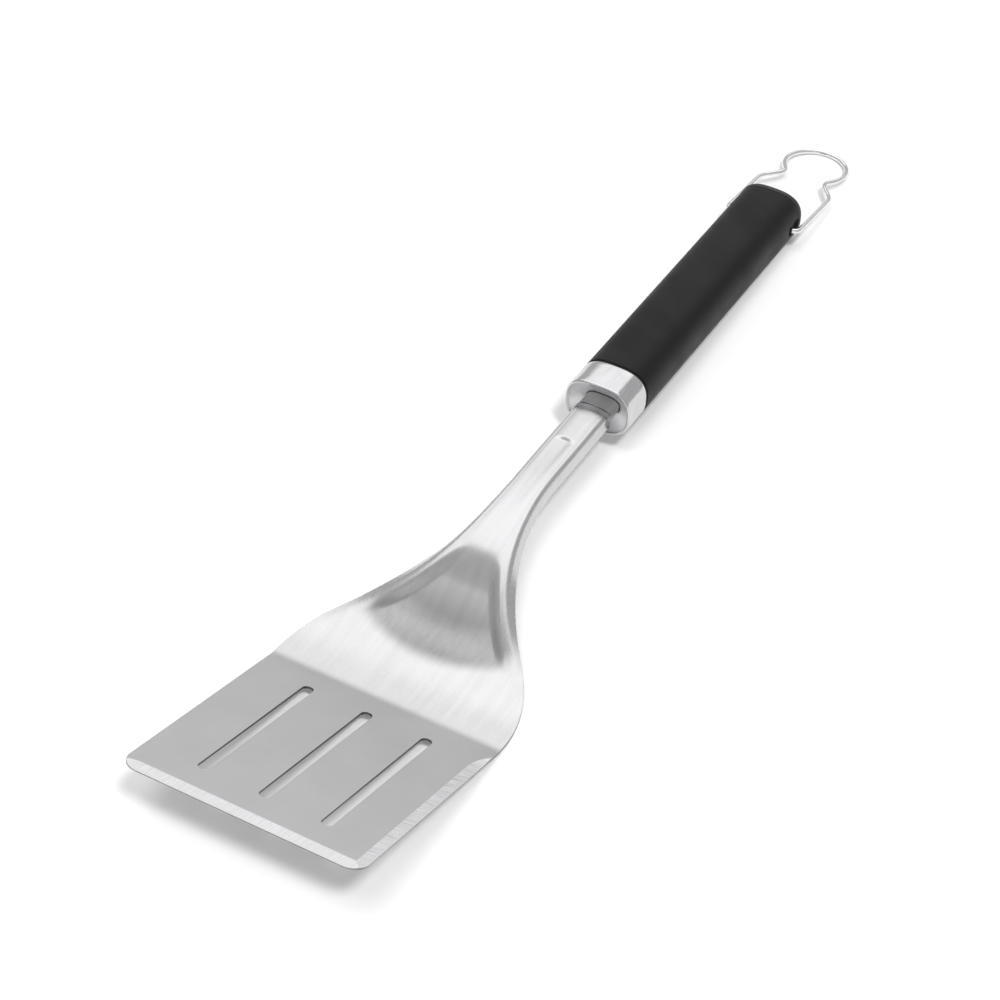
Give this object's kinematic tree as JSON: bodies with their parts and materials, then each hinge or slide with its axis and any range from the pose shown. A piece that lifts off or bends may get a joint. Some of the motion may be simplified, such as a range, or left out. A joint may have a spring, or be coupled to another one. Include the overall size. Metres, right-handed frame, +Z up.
{
  "type": "slotted grill spatula",
  "caption": "Slotted steel grill turner with a bent, stiffened neck, a bright collar, a soft grip and a folding wire hanging loop.",
  "frame": {"origin": "centre of the spatula's footprint, on the surface it lies on", "axes": "+X from the blade's front edge towards the hanging loop, +Y to the blade's left side, +Z up"},
  "size_m": [0.5, 0.1, 0.0364],
  "materials": {
    "brushed_steel": "satin brushed stainless steel",
    "polished_steel": "polished stainless steel",
    "chrome_plate": "bright plated",
    "chrome_wire": "bright plated wire",
    "soft_grip": "fine matte grain",
    "rigid_plastic": "matte",
    "black_rubber": "matte",
    "plated_steel": "zinc plated"
  },
  "bodies": {
    "tool": {"blade_and_shaft": "brushed_steel", "neck_insert": "polished_steel", "collar": "chrome_plate", "collar_gasket": "black_rubber", "handle_core": "rigid_plastic", "grip_sleeve": "soft_grip", "tang_rod": "plated_steel", "tang_washer": "plated_steel", "tang_nut": "plated_steel", "end_cap": "rigid_plastic", "loop_bush_left": "rigid_plastic", "loop_bush_right": "rigid_plastic"},
    "loop": {"hanging_loop": "chrome_wire"}
  },
  "joints": [
    {"name": "loop_hinge", "type": "hinge", "parent": "tool", "child": "loop", "pos_m": [0.1763, 0, 0.01226], "axis": [0, 1, 0], "range_deg": [-165, 155]}
  ]
}
